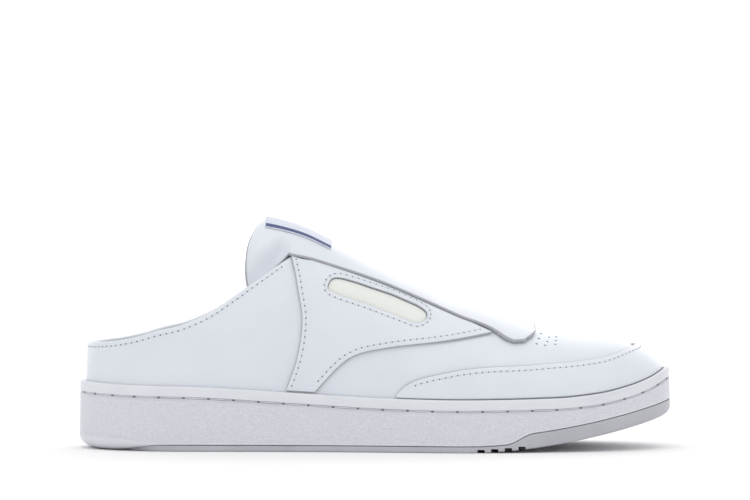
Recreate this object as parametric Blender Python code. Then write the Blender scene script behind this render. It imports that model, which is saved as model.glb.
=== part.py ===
"""Leather sneaker mule, a right shoe: cupsole, hollow upper, padded tongue and strap.

Metres, +Z up. The heel is at -X and the toe at +X. The outer (lateral) side is at -Y and the
inner (medial) side at +Y. The origin is on the floor, under the middle of the sole.
"""

import math

import bmesh
import bpy
import numpy as np

# Overall sizes
SOLE_LENGTH = 0.300
BALL_WIDTH = 0.108
SOLE_HEIGHT = 0.0343  # lip of the sole at the heel, above the floor
UPPER_RISE = 0.0870  # top of the tongue above the lip below it
TOE_SPRING = 0.0175  # height of the tread's tip above the floor

# Walls and layers
GAP = 0.0003  # between pieces that touch
LIP = 0.0030  # wall of the cupsole beside the upper
UPPER_WALL = 0.0022
OVERLAY = 0.0012  # leather of toe cap and side panels
STRAP = 0.0020
TONGUE_PAD = 0.0065
INSOLE = 0.0045
LABEL = 0.0006
INSERT = 0.0006

# Tread
STRIP = 0.0030  # tread seen along the side
TOE_WEDGE = 0.0072  # tread at the toe
WEDGE_START = 0.065
WEDGE_STEP = 0.014  # length of the step up from strip to wedge
SPRING_START = 0.048  # the tread is flat behind this
SPRING_POWER = 1.7
HEEL_TUCK = 0.0100  # tread stands back this much behind the heel's rounded edge
HEEL_ROUND = 0.0065
TUCK_FROM = -0.100
TUCK_RUN = 0.038
NOTCH_WIDTH = 0.0032
NOTCH_DEPTH = 0.0016
NOTCH_PITCH = 0.0068
NOTCH_START = 0.0526
NOTCHES = 4

# Side of the sole
GROOVE_DOWN = 0.0057  # stitch groove below the lip
GROOVE_WIDE = 0.0016
GROOVE_DEEP = 0.0011

# Plan
HEEL_ARC = 0.041  # length of the rounded heel end
TOE_ARC = 0.058
HEEL_POWER = 2.05
TOE_POWER = 2.25
BASE_DROP = 0.0080  # the upper starts to lean in this far below the lip

# Strap and throat
CORNER = -0.0422  # top corner of the side panel, where collar and strap meet
CORNER_RUN = 0.0015
TUCK_DEPTH = 0.0056  # the tongue's side goes this far in, behind the collar
TUCK_AFTER = 0.0065  # behind the corner, before the side is wholly inside
TUCK_TOP = 0.0130  # the side starts to go in this far above the collar
TUCK_FADE = 0.0090
TUCK_BELOW = 0.0085  # the strap's edge, inside, below the collar
THROAT_SHARE = 0.27  # throat edge, from strap edge towards the ridge
THROAT_END = 0.060
THROAT_ROUND = 0.020
TONGUE_FRONT = 0.044
TONGUE_BELOW = 0.010  # the tongue reaches this far below the strap's edge

# Shares of SOLE_LENGTH from the middle, and of BALL_WIDTH to the outer and inner side
PLAN = (
    # x, outer, inner, ridge
    (-0.500, -0.352, 0.341, -0.006),
    (-0.350, -0.372, 0.361, -0.006),
    (-0.200, -0.387, 0.338, -0.008),
    (-0.067, -0.413, 0.315, -0.008),
    (0.067, -0.470, 0.372, -0.004),
    (0.150, -0.500, 0.445, 0.008),
    (0.220, -0.492, 0.500, 0.020),
    (0.307, -0.445, 0.497, 0.030),
    (0.400, -0.392, 0.475, 0.030),
    (0.500, -0.345, 0.450, 0.030),
)

# Shares of SOLE_LENGTH and SOLE_HEIGHT
SOLE_TOP = (
    # x, lip, floor of the cup
    (-0.500, 1.000, 0.480),
    (-0.397, 0.962, 0.480),
    (-0.293, 0.939, 0.470),
    (-0.142, 0.862, 0.430),
    (0.013, 0.787, 0.370),
    (0.137, 0.763, 0.330),
    (0.300, 0.784, 0.420),
    (0.370, 0.840, 0.510),
    (0.425, 0.945, 0.630),
    (0.460, 1.050, 0.720),
    (0.490, 1.181, 0.800),
)

# Heights above the lip, as shares of UPPER_RISE
RIDGE = (
    # x, skin along the middle, roundness of the section
    (-0.500, 0.960, 2.30),
    (-0.350, 0.985, 2.35),
    (-0.250, 0.985, 2.40),
    (-0.195, 0.970, 2.40),
    (-0.161, 0.952, 2.40),
    (-0.127, 0.922, 2.40),
    (-0.085, 0.862, 2.35),
    (-0.042, 0.790, 2.30),
    (0.000, 0.724, 2.25),
    (0.042, 0.660, 2.20),
    (0.085, 0.603, 2.15),
    (0.129, 0.537, 2.10),
    (0.163, 0.505, 2.10),
    (0.200, 0.468, 2.10),
    (0.232, 0.428, 2.10),
    (0.264, 0.392, 2.10),
    (0.307, 0.362, 2.10),
    (0.368, 0.350, 2.12),
    (0.430, 0.362, 2.15),
    (0.500, 0.366, 2.15),
)
COLLAR = (
    # x, edge of the collar
    (-0.500, 0.222),
    (-0.442, 0.245),
    (-0.397, 0.280),
    (-0.364, 0.316),
    (-0.330, 0.345),
    (-0.280, 0.421),
    (-0.246, 0.503),
    (-0.200, 0.627),
    (-0.141, 0.782),
    (-0.120, 0.830),
)
STRAP_EDGE = (
    # x, lower edge of the strap
    (-0.141, 0.782),
    (-0.110, 0.765),
    (-0.075, 0.734),
    (-0.003, 0.660),
    (0.076, 0.554),
    (0.146, 0.451),
    (0.181, 0.408),
    (0.202, 0.372),
    (0.218, 0.335),
    (0.232, 0.316),
    (0.255, 0.317),
    (0.270, 0.330),
)
CAP_EDGE = (
    # x, upper edge of the toe cap
    (0.036, 0.020),
    (0.050, 0.067),
    (0.069, 0.104),
    (0.095, 0.130),
    (0.155, 0.168),
    (0.190, 0.177),
    (0.251, 0.180),
    (0.310, 0.187),
    (0.375, 0.187),
    (0.402, 0.192),
    (0.429, 0.200),
    (0.460, 0.200),
)
PANEL_REAR = (
    # x, height, from the foot up to the collar corner
    (-0.147, 0.012),
    (-0.130, 0.170),
    (-0.122, 0.310),
    (-0.120, 0.425),
    (-0.123, 0.505),
    (-0.128, 0.589),
    (-0.132, 0.672),
    (-0.1395, 0.772),
)
PANEL_FRONT = (
    # x, height, from the foot forward to the strap
    (-0.100, 0.012),
    (-0.067, 0.147),
    (-0.045, 0.215),
    (-0.022, 0.254),
    (0.008, 0.277),
    (0.042, 0.298),
    (0.129, 0.332),
    (0.194, 0.370),
)
# Window corners, from the rear top one round the front
WINDOW = (
    # x, height
    (-0.078, 0.640),
    (-0.071, 0.665),
    (-0.060, 0.667),
    (-0.033, 0.646),
    (0.027, 0.583),
    (0.072, 0.520),
    (0.087, 0.485),
    (0.086, 0.445),
    (0.070, 0.420),
    (0.044, 0.452),
    (-0.015, 0.523),
    (-0.059, 0.565),
    (-0.081, 0.595),
)
# Rear edge of tongue and strap, from the ridge down to the side
TONGUE_END = (
    # share of the way down, x
    (0.00, -0.193),
    (0.15, -0.195),
    (0.30, -0.200),
    (0.45, -0.207),
    (0.60, -0.213),
    (0.75, -0.215),
    (0.88, -0.212),
    (1.00, -0.203),
)
LABEL_REAR = -0.0555
LABEL_FRONT = -0.0235
LABEL_HALF = 0.0165

# Stations and rows
HEEL_STEPS = 6
MIDDLE_STEPS = 24
TOE_STEPS = 9
COVER_REAR_STEPS = 5
COVER_ROWS = 7

COLOURS = {
    # piece: red, green, blue, roughness
    "rubber_white": (0.80, 0.81, 0.84, 0.55),
    "rubber_grey": (0.50, 0.52, 0.56, 0.60),
    "leather_white": (0.80, 0.82, 0.86, 0.42),
    "lining": (0.74, 0.75, 0.77, 0.80),
    "footbed": (0.76, 0.77, 0.79, 0.85),
    "insert": (0.83, 0.84, 0.80, 0.60),
    "label": (0.74, 0.77, 0.86, 0.70),
}


def curve(table, column, scale):
    """A smooth line through a table's rows, straight beyond both ends."""
    xs = np.array([row[0] for row in table]) * SOLE_LENGTH
    ys = np.array([row[column] for row in table]) * scale
    steps = np.diff(xs)
    slopes = np.diff(ys) / steps
    tangents = np.empty(len(xs))
    tangents[0], tangents[-1] = slopes[0], slopes[-1]
    for i in range(1, len(xs) - 1):
        before, after = slopes[i - 1], slopes[i]
        if before * after <= 0:
            tangents[i] = 0.0
        else:
            tangents[i] = 2 * before * after / (before + after)

    def value(x):
        if x <= xs[0]:
            return ys[0] + tangents[0] * (x - xs[0])
        if x >= xs[-1]:
            return ys[-1] + tangents[-1] * (x - xs[-1])
        i = int(np.searchsorted(xs, x)) - 1
        t = (x - xs[i]) / steps[i]
        rise = (1 + 2 * t) * (1 - t) ** 2 * ys[i] + t * t * (3 - 2 * t) * ys[i + 1]
        return rise + steps[i] * (t * (1 - t) ** 2 * tangents[i] - t * t * (1 - t) * tangents[i + 1])

    return value


outer_side = curve(PLAN, 1, BALL_WIDTH)
inner_side = curve(PLAN, 2, BALL_WIDTH)
ridge_side = curve(PLAN, 3, BALL_WIDTH)
lip = curve(SOLE_TOP, 1, SOLE_HEIGHT)
cup_floor = curve(SOLE_TOP, 2, SOLE_HEIGHT)
ridge_rise = curve(RIDGE, 1, UPPER_RISE)
roundness = curve(RIDGE, 2, 1.0)
collar_rise = curve(COLLAR, 1, UPPER_RISE)
strap_rise = curve(STRAP_EDGE, 1, UPPER_RISE)
cap_rise = curve(CAP_EDGE, 1, UPPER_RISE)

HEEL_X = -SOLE_LENGTH / 2 + HEEL_ARC
TOE_X = SOLE_LENGTH / 2 - TOE_ARC
UPPER_INSET = LIP + GAP


def smooth(t):
    """A soft step from 0 to 1."""
    t = min(max(t, 0.0), 1.0)
    return t * t * (3 - 2 * t)


def tread(x):
    """Height of the tread's underside: flat, then curving up to the toe."""
    run = max(x - SPRING_START, 0.0) / (SOLE_LENGTH / 2 - SPRING_START)
    return TOE_SPRING * run**SPRING_POWER


def tread_top(x):
    """Where grey tread and white cupsole meet."""
    return tread(x) + STRIP + (TOE_WEDGE - STRIP) * smooth((x - WEDGE_START) / WEDGE_STEP)


def outline(side, q, inset):
    """Plan point of the sole: q is 0 to 1 round the heel, 1 to 2 along the side, 2 to 3 round the toe."""
    edge = outer_side if side < 0 else inner_side
    if q < 1:
        turn = q * math.pi / 2
        x = HEEL_X - (HEEL_ARC - inset) * math.cos(turn) ** (2 / HEEL_POWER)
        part = math.sin(turn) ** (2 / HEEL_POWER)
        middle = ridge_side(HEEL_X)
    elif q > 2:
        turn = (3 - q) * math.pi / 2
        x = TOE_X + (TOE_ARC - inset) * math.cos(turn) ** (2 / TOE_POWER)
        part = math.sin(turn) ** (2 / TOE_POWER)
        middle = ridge_side(TOE_X)
    else:
        x = HEEL_X + (q - 1) * (TOE_X - HEEL_X)
        part = 1.0
        middle = ridge_side(x)
    return x, middle + (edge(x) - side * inset - middle) * part


def spine(q):
    """Plan point of the ridge line that the section of station q leans towards."""
    x = HEEL_X + min(max(q - 1, 0.0), 1.0) * (TOE_X - HEEL_X)
    return x, ridge_side(x)


def station(x):
    """Station of a place between heel arc and toe arc."""
    return 1 + (x - HEEL_X) / (TOE_X - HEEL_X)


def ridge(x):
    return lip(min(x, TOE_X)) + ridge_rise(x)


def base_point(side, q, angle):
    """Point of the upper's skin: angle 0 is at the sole, a right angle on the ridge."""
    edge_x, edge_y = outline(side, q, UPPER_INSET)
    spine_x, spine_y = spine(q)
    power = 2 / roundness(edge_x)
    reach = max(math.cos(angle), 0.0) ** power
    rise = math.sin(angle) ** power
    x = spine_x + (edge_x - spine_x) * reach
    y = spine_y + (edge_y - spine_y) * reach
    start = lip(edge_x) - BASE_DROP
    top = ridge(x)
    return np.array((x, y, start + (top - start) * rise))


def skin(side, q, angle, out=0.0):
    """Point at a distance out from the upper's skin, along its normal."""
    point = base_point(side, q, angle)
    if out == 0.0:
        return point
    if angle > math.pi / 2 - 0.002:
        normal = np.array((-(ridge(point[0] + 1e-4) - ridge(point[0] - 1e-4)) / 2e-4, 0.0, 1.0))
    else:
        up = base_point(side, q, angle + 0.001) - base_point(side, q, max(angle - 0.001, 0.0))
        along = base_point(side, min(q + 0.002, 3.0), angle) - base_point(side, max(q - 0.002, 0.0), angle)
        if q > 2.99 or q < 0.01:
            along = np.array((0.0, 1.0, 0.0))
        normal = np.cross(up, along)
        spine_x, spine_y = spine(q)
        away = point - np.array((spine_x, spine_y, lip(spine_x) - 2 * BASE_DROP))
        if normal.dot(away) < 0:
            normal = -normal
    return point + normal / np.linalg.norm(normal) * out


def angle_at(side, q, height_over_lip):
    """Angle where the skin reaches a height, itself a function of x, above the lip."""
    low, high = 0.0, math.pi / 2
    for _ in range(40):
        angle = (low + high) / 2
        point = base_point(side, q, angle)
        if point[2] < lip(point[0]) + height_over_lip(point[0]):
            low = angle
        else:
            high = angle
    return (low + high) / 2


def strap_angle(side, x):
    return angle_at(side, station(x), strap_rise)


def throat_angle(side, x):
    """Edge of the throat slot, under the strap; it closes in a round end."""
    edge = strap_angle(side, x)
    run = (x - THROAT_END + THROAT_ROUND) / THROAT_ROUND
    open_part = (1 - THROAT_SHARE) * math.sqrt(max(1 - max(run, 0.0) ** 2, 0.0))
    return math.pi / 2 - (math.pi / 2 - edge) * open_part


def opening_angle(side, q):
    """Upper edge of the leather: the collar, then the throat slot, then the closed vamp."""
    if q <= 1:
        return angle_at(side, q, collar_rise)
    x = spine(q)[0]
    if x <= CORNER:
        return angle_at(side, q, collar_rise)
    if x >= THROAT_END:
        return math.pi / 2
    share = smooth((x - CORNER) / CORNER_RUN)
    corner = angle_at(side, station(CORNER), collar_rise)
    return corner + (throat_angle(side, max(x, CORNER + CORNER_RUN)) - corner) * share


def stations(extra=()):
    """Stations from heel to toe, the same on both sides."""
    values = [i / HEEL_STEPS for i in range(HEEL_STEPS)]
    values += [1 + i / MIDDLE_STEPS for i in range(MIDDLE_STEPS)]
    values += [2 + i / TOE_STEPS for i in range(TOE_STEPS + 1)]
    for value in extra:
        values = [known for known in values if abs(known - value) > 0.006]
    return sorted(values + list(extra))


def around(values):
    """Side and station of each point of a closed ring: out along one side, back along the other."""
    there = [(-1, q) for q in values]
    back = [(1, q) for q in reversed(values[1:-1])]
    return there + back


def material(name):
    red, green, blue, roughness_value = COLOURS[name]
    made = bpy.data.materials.new(name)
    made.use_nodes = True
    shader = made.node_tree.nodes["Principled BSDF"]
    shader.inputs["Base Color"].default_value = (red, green, blue, 1.0)
    shader.inputs["Roughness"].default_value = roughness_value
    shader.inputs["Metallic"].default_value = 0.0
    made.diffuse_color = (red, green, blue, 1.0)
    return made


def solid(name, faces, finish, sharp=40):
    """One closed object from faces given as lists of points; equal points are joined."""
    index, points, polygons = {}, [], []
    for face in faces:
        corners = []
        for point in face:
            key = tuple(round(float(v), 7) for v in point)
            if key not in index:
                index[key] = len(points)
                points.append(key)
            if index[key] not in corners:
                corners.append(index[key])
        if len(corners) > 2:
            polygons.append(corners)
    mesh = bpy.data.meshes.new(name)
    mesh.from_pydata(points, [], polygons)
    shape = bmesh.new()
    shape.from_mesh(mesh)
    bmesh.ops.recalc_face_normals(shape, faces=shape.faces)
    bmesh.ops.triangulate(shape, faces=shape.faces)
    shape.to_mesh(mesh)
    shape.free()
    mesh.materials.append(material(finish))
    mesh.shade_smooth()
    mesh.set_sharp_from_angle(angle=math.radians(sharp))
    made = bpy.data.objects.new(name, mesh)
    bpy.context.scene.collection.objects.link(made)
    return made


def strips(rings, closed=True):
    """Faces between rings of points that follow each other."""
    faces = []
    for lower, upper in zip(rings, rings[1:]):
        count = len(lower) if closed else len(lower) - 1
        for i in range(count):
            j = (i + 1) % len(lower)
            faces.append((lower[i], lower[j], upper[j], upper[i]))
    return faces


def cap(ring, count):
    """Faces across a ring of two sides, from station to station."""
    faces = []
    for i in range(count - 1):
        left, left_next = ring[i], ring[i + 1]
        right = ring[-i % len(ring)]
        right_next = ring[-(i + 1) % len(ring)]
        faces.append((left, left_next, right_next, right))
    return faces


def ring_at(values, inset, height):
    """A ring of the sole; inset and height are functions of station and place."""
    ring = []
    for side, q in around(values):
        x, y = outline(side, q, inset(q))
        ring.append((x, y, height(x, q)))
    return ring


def patch(name, outer, inner, finish, bulge=0.35):
    """A leather piece between two grids of points, with a rounded cut edge."""
    outer, inner = np.array(outer), np.array(inner)
    faces = strips(list(outer), closed=False) + strips(list(inner), closed=False)
    rows, columns = outer.shape[:2]
    border = [(0, j) for j in range(columns)] + [(i, columns - 1) for i in range(1, rows)]
    border += [(rows - 1, j) for j in range(columns - 2, -1, -1)]
    border += [(i, 0) for i in range(rows - 2, 0, -1)]
    middle = []
    for i, j in border:
        inward = (min(max(i, 1), rows - 2), min(max(j, 1), columns - 2))
        away = outer[i, j] - outer[inward]
        thick = np.linalg.norm(outer[i, j] - inner[i, j])
        middle.append((outer[i, j] + inner[i, j]) / 2 + away / np.linalg.norm(away) * thick * bulge)
    faces += strips([[outer[i, j] for i, j in border], middle, [inner[i, j] for i, j in border]])
    return solid(name, faces, finish)


def tuck(q):
    """Share of the heel's tuck at a station: none along the side, whole round the heel."""
    x = outline(-1, q, 0.0)[0]
    return smooth((TUCK_FROM - x) / TUCK_RUN)


def make_outsole():
    """The grey tread, with notches across the forefoot."""
    values = stations()
    edge = GAP

    def inset(q):
        return HEEL_TUCK * tuck(q)

    def soften(x):
        return 1 + 2.5 * smooth((x - TOE_X) / TOE_ARC)

    rings = [
        ring_at(values, lambda q: inset(q) + 3 * edge * soften(outline(-1, q, 0.0)[0]), lambda x, q: tread(x)),
        ring_at(values, inset, lambda x, q: tread(x) + 3 * edge * soften(x)),
        ring_at(values, inset, lambda x, q: tread_top(x)),
    ]
    count = len(values)
    faces = strips(rings) + cap(rings[0], count) + cap(rings[-1], count)
    made = solid("outsole", faces, "rubber_grey")
    for i in range(NOTCHES):
        x = NOTCH_START + i * NOTCH_PITCH
        cutter = bpy.data.objects.new(f"notch_{i + 1}", bpy.data.meshes.new(f"notch_{i + 1}"))
        shape = bmesh.new()
        bmesh.ops.create_cube(shape, size=1.0)
        height = 4 * NOTCH_DEPTH
        bmesh.ops.scale(shape, vec=(NOTCH_WIDTH, 2 * BALL_WIDTH, height), verts=shape.verts)
        bmesh.ops.translate(shape, vec=(x, 0.0, tread(x) + NOTCH_DEPTH - height / 2), verts=shape.verts)
        shape.to_mesh(cutter.data)
        shape.free()
        cutter.hide_render = True
        cutter.display_type = "WIRE"
        bpy.context.scene.collection.objects.link(cutter)
        cut = made.modifiers.new(f"notch_{i + 1}", "BOOLEAN")
        cut.object = cutter
        cut.operation = "DIFFERENCE"
        cut.solver = "EXACT"


def make_midsole():
    """The white cupsole: rounded heel edge, side wall, stitch groove, lip and cup."""
    values = stations()

    def back(q):
        return max(HEEL_TUCK * tuck(q) - 2 * GAP, 2 * GAP)

    def drop(q):
        return min(max((HEEL_TUCK * tuck(q) - 6 * GAP) / (HEEL_TUCK - 6 * GAP), 0.0), 1.0)

    def low(share, rise):
        """Height of a ring of the rounded edge: above the tread, or near the floor at the heel."""
        return lambda x, q: (tread_top(x) + GAP + rise) * (1 - drop(q)) + share * HEEL_ROUND * drop(q)

    def level(down):
        return lambda x, q: lip(x) - down

    def at(value):
        return lambda q: value

    half = GROOVE_WIDE / 2
    rings = [
        ring_at(values, back, lambda x, q: tread_top(x) + GAP),
        ring_at(values, back, low(0.05, 0.0)),
        ring_at(values, lambda q: back(q) * 0.45, low(0.16, GAP)),
        ring_at(values, lambda q: back(q) * 0.15, low(0.46, 2 * GAP)),
        ring_at(values, at(0.0), low(1.0, 4 * GAP)),
        ring_at(values, at(GAP), level(GROOVE_DOWN + half + GAP)),
        ring_at(values, at(GAP + GROOVE_DEEP), level(GROOVE_DOWN + half)),
        ring_at(values, at(GAP + GROOVE_DEEP), level(GROOVE_DOWN - half)),
        ring_at(values, at(GAP), level(GROOVE_DOWN - half - GAP)),
        ring_at(values, at(2 * GAP), level(LIP / 2)),
        ring_at(values, at(LIP / 3), level(LIP / 8)),
        ring_at(values, at(LIP * 0.6), level(0.0)),
        ring_at(values, at(LIP), level(LIP / 6)),
        ring_at(values, at(LIP), lambda x, q: cup_floor(x)),
    ]
    count = len(values)
    faces = strips(rings) + cap(rings[0], count) + cap(rings[-1], count)
    solid("midsole", faces, "rubber_white")


def make_insole():
    """The footbed, inside the upper on the floor of the cup."""
    values = stations()
    edge = UPPER_INSET + UPPER_WALL + GAP
    round_off = INSOLE / 4
    rings = [
        ring_at(values, lambda q: edge, lambda x, q: cup_floor(x) + GAP),
        ring_at(values, lambda q: edge, lambda x, q: cup_floor(x) + GAP + INSOLE - round_off),
        ring_at(values, lambda q: edge + round_off, lambda x, q: cup_floor(x) + GAP + INSOLE),
    ]
    count = len(values)
    solid("insole", strips(rings) + cap(rings[0], count) + cap(rings[-1], count), "footbed")


def make_upper():
    """The hollow leather shell: open at collar and throat, and underneath."""
    corner = (CORNER - TUCK_AFTER / 2, CORNER, CORNER + CORNER_RUN, THROAT_END)
    values = stations(extra=[station(x) for x in corner])
    shares_out = (0.0, 0.12, 0.24, 0.38, 0.53, 0.68, 0.84, 1.0)
    shares_in = (1.0, 0.80, 0.60, 0.40, 0.20, 0.0)
    ends = {key: opening_angle(*key) for key in around(values)}
    outer = [ring_at(values, lambda q: UPPER_INSET, lambda x, q: cup_floor(x) + GAP)]
    for share in shares_out:
        outer.append([skin(side, q, share * ends[side, q]) for side, q in around(values)])
    inner = []
    for share in shares_in:
        inner.append([skin(side, q, share * ends[side, q], -UPPER_WALL) for side, q in around(values)])
    inset = UPPER_INSET + UPPER_WALL
    inner.append(ring_at(values, lambda q: inset, lambda x, q: cup_floor(x) + GAP))
    faces = strips(outer) + strips(inner) + strips([outer[0], inner[-1]])
    keys = around(values)
    for i, key in enumerate(keys):
        following = keys[(i + 1) % len(keys)]
        j = (i + 1) % len(keys)
        if min(ends[key], ends[following]) < math.pi / 2 - 1e-6:
            faces.append((outer[-1][i], outer[-1][j], inner[0][j], inner[0][i]))
    solid("upper", faces, "leather_white")


def tuck_in(side, q, angle, x):
    """How far the tongue's side goes in behind the collar, at its rear end."""
    if x >= CORNER:
        return 0.0
    height = base_point(side, q, angle)[2] - lip(x) - collar_rise(x)
    return TUCK_DEPTH * smooth((CORNER - x) / TUCK_AFTER) * smooth((TUCK_TOP - height) / TUCK_FADE)


def cover_point(side, share, x, lower, out):
    """Point of tongue or strap: share 0 on the ridge, 1 on the lower edge at angle lower."""
    q = station(x)
    angle = math.pi / 2 - share * (math.pi / 2 - lower)
    return skin(side, q, angle, out(side, q, angle, x))


def strap_lower(side, x):
    """Lower edge of the strap; behind the corner it runs along the collar, then inside it."""
    if x >= CORNER:
        return strap_angle(side, x)
    below = TUCK_BELOW * smooth((CORNER - TUCK_AFTER - x) / TUCK_AFTER)

    def height(place):
        return collar_rise(place) + 5 * GAP - below

    return angle_at(side, station(x), height)


rear_of = {row[0]: row[1] for row in TONGUE_END}


def rear_edge(share):
    """x of the rear edge of tongue and strap, at a share of the way down."""
    keys = sorted(rear_of)
    return SOLE_LENGTH * float(np.interp(share, keys, [rear_of[key] for key in keys]))


def front_edge(share):
    """x of the strap's tab end, straight across with a cut corner."""
    return SOLE_LENGTH * float(np.interp(share, (0.0, 0.7, 0.9, 1.0), (0.267, 0.267, 0.261, 0.247)))


def cover(name, finish, columns, end, lower, outside, thickness):
    """A solid over the instep, from the tongue's rear edge to the end line, one side to the other.

    Tongue and strap share their columns behind the corner, where they lie on each other.
    """
    outer, inner = [], []

    def inside(side, q, angle, x):
        return outside(side, q, angle, x) - thickness(x)

    for i in range(COVER_REAR_STEPS + columns + 1):
        outer_row, inner_row = [], []
        for j in range(-COVER_ROWS, COVER_ROWS + 1):
            side = -1 if j < 0 else 1
            share = abs(j) / COVER_ROWS
            rear, front = rear_edge(share), end(share)
            if i <= COVER_REAR_STEPS:
                x = rear + i / COVER_REAR_STEPS * (CORNER - rear)
            else:
                x = CORNER + (i - COVER_REAR_STEPS) / columns * (front - CORNER)
            edge = lower(side, x)
            outer_row.append(cover_point(side, share, x, edge, outside))
            inner_row.append(cover_point(side, share, x, edge, inside))
        outer.append(outer_row)
        inner.append(inner_row)
    return patch(name, outer, inner, finish)


def make_strap():
    def outside(side, q, angle, x):
        return GAP + STRAP - tuck_in(side, q, angle, x)

    cover("strap", "leather_white", 15, front_edge, strap_lower, outside, lambda x: STRAP)


def make_tongue():
    """The padded tongue: behind the corner it touches the strap, then it dips under the upper."""
    dip = UPPER_WALL + 2 * GAP

    def outside(side, q, angle, x):
        level = dip * smooth((x - CORNER + 0.014) / 0.010)
        return -max(tuck_in(side, q, angle, x), level)

    def lower(side, x):
        if x <= CORNER:
            return strap_lower(side, x)
        below = TONGUE_BELOW * smooth((x - CORNER) / TONGUE_BELOW)

        def height(place):
            return strap_rise(place) - below

        return angle_at(side, station(x), height)

    def thickness(x):
        return TONGUE_PAD - 0.3 * TONGUE_PAD * smooth((x - CORNER) / (TONGUE_FRONT - CORNER))

    cover("tongue", "lining", 9, lambda share: TONGUE_FRONT, lower, outside, thickness)


def make_toe_cap():
    """The mudguard: a band that runs round the toe, above the lip."""
    start = CAP_EDGE[0][0] * SOLE_LENGTH
    values = [q for q in stations() if q > station(start) + 0.02]
    values = [station(start)] + values
    keys = [(-1, q) for q in values] + [(1, q) for q in reversed(values[:-1])]
    rows = 4

    def column(side, q, out):
        low = angle_at(side, q, lambda x: 2 * GAP)
        high = max(angle_at(side, q, cap_rise), low + 0.01)
        return [skin(side, q, low + (high - low) * i / rows, out) for i in range(rows + 1)]

    outer = [column(side, q, GAP + OVERLAY) for side, q in keys]
    inner = [column(side, q, GAP) for side, q in keys]
    patch("toe_cap", outer, inner, "leather_white")


def table_point(table, share):
    """Place and height at a share of the way along a table's rows."""
    spot = share * (len(table) - 1)
    i = min(int(spot), len(table) - 2)
    t = spot - i
    x = table[i][0] + t * (table[i + 1][0] - table[i][0])
    height = table[i][1] + t * (table[i + 1][1] - table[i][1])
    return np.array((x * SOLE_LENGTH, height * UPPER_RISE))


def panel_point(u, v):
    """Place and height above the lip on the side panel: u from rear to front, v from foot to strap."""
    rear, front = table_point(PANEL_REAR, v), table_point(PANEL_FRONT, v)
    foot_rear, foot_front = table_point(PANEL_REAR, 0.0), table_point(PANEL_FRONT, 0.0)
    top_rear, top_front = table_point(PANEL_REAR, 1.0), table_point(PANEL_FRONT, 1.0)
    foot = foot_rear + u * (foot_front - foot_rear)
    x = top_rear[0] + u * (top_front[0] - top_rear[0])
    ease = min(u / 0.1, (1 - u) / 0.1, 1.0)
    straight = top_rear + u * (top_front - top_rear)
    top = np.array((x, straight[1] + ease * (strap_rise(x) - 3 * GAP - straight[1])))
    blend = (1 - u) * rear + u * front + (1 - v) * foot + v * top
    return blend - ((1 - u) * (1 - v) * foot_rear + u * (1 - v) * foot_front + (1 - u) * v * top_rear + u * v * top_front)


def on_side(side, place, out):
    """Skin point at a place and a height above the lip."""
    q = station(place[0])
    return skin(side, q, angle_at(side, q, lambda x: place[1]), out)


def side_patch(name, side, point_at, columns, rows, inside, outside, finish):
    outer, inner = [], []
    for i in range(columns + 1):
        places = [point_at(i / columns, j / rows) for j in range(rows + 1)]
        outer.append([on_side(side, place, outside) for place in places])
        inner.append([on_side(side, place, inside) for place in places])
    return patch(name, outer, inner, finish, bulge=0.2)


def window_point(u, v, shrink=0.0):
    """Place on the window: u from rear to front, v from lower to upper edge, drawn in by shrink."""
    top, bottom = WINDOW[1:7], WINDOW[:6:-1]
    top = (WINDOW[0],) + top
    centre = np.mean([row for row in WINDOW], axis=0) * np.array((SOLE_LENGTH, UPPER_RISE))
    upper, lower = table_point(top, u), table_point((*bottom, WINDOW[7]), u)
    place = lower + v * (upper - lower)
    away = place - centre
    return centre + away * (1 - shrink / max(np.linalg.norm(away), 1e-6))


def make_panels():
    """The side panels between collar, strap and lip; the outer one has the long window."""
    for side, name in ((-1, "quarter_overlay_lateral"), (1, "quarter_overlay_medial")):
        made = side_patch(name, side, panel_point, 8, 20, GAP, GAP + OVERLAY, "leather_white")
        if side < 0:
            cutter = side_patch("window_cutter", side, window_point, 12, 2, -OVERLAY, 3 * OVERLAY, "insert")
            cutter.hide_render = True
            cutter.display_type = "WIRE"
            cut = made.modifiers.new("window", "BOOLEAN")
            cut.object = cutter
            cut.operation = "DIFFERENCE"
            cut.solver = "EXACT"

    def insert_point(u, v):
        return window_point(u, v, 3 * GAP)

    side_patch("window_insert", -1, insert_point, 12, 2, GAP, GAP + INSERT, "insert")


def make_label():
    """The blank woven label on top of the tongue's end."""
    outer, inner = [], []
    columns, rows = 6, 5
    for i in range(columns + 1):
        x = LABEL_REAR + i / columns * (LABEL_FRONT - LABEL_REAR)
        lines = ([], [])
        for j in range(-rows, rows + 1):
            side = -1 if j < 0 else 1
            width = abs(outline(side, station(x), UPPER_INSET)[1] - ridge_side(x))
            reach = LABEL_HALF * abs(j) / rows / width
            angle = math.acos(reach ** (roundness(x) / 2))
            for line, out in zip(lines, (GAP + STRAP + GAP + LABEL, GAP + STRAP + GAP)):
                line.append(skin(side, station(x), angle, out))
        outer.append(lines[0])
        inner.append(lines[1])
    patch("tongue_label", outer, inner, "label")


def main():
    for thing in list(bpy.data.objects):
        bpy.data.objects.remove(thing, do_unlink=True)
    make_outsole()
    make_midsole()
    make_insole()
    make_upper()
    make_tongue()
    make_strap()
    make_toe_cap()
    make_panels()
    make_label()


main()
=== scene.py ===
# %% [markdown]
# # A white leather sneaker mule in Blender
# This lesson dresses a finished shoe model. The solids are already right in size and place, so
# every piece here is drawn again from the same last, only finer: rounded leather edges, seams,
# stitches, grain. We start by loading the solids as a fixed frame.

# %% Load the frame
import math

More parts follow.
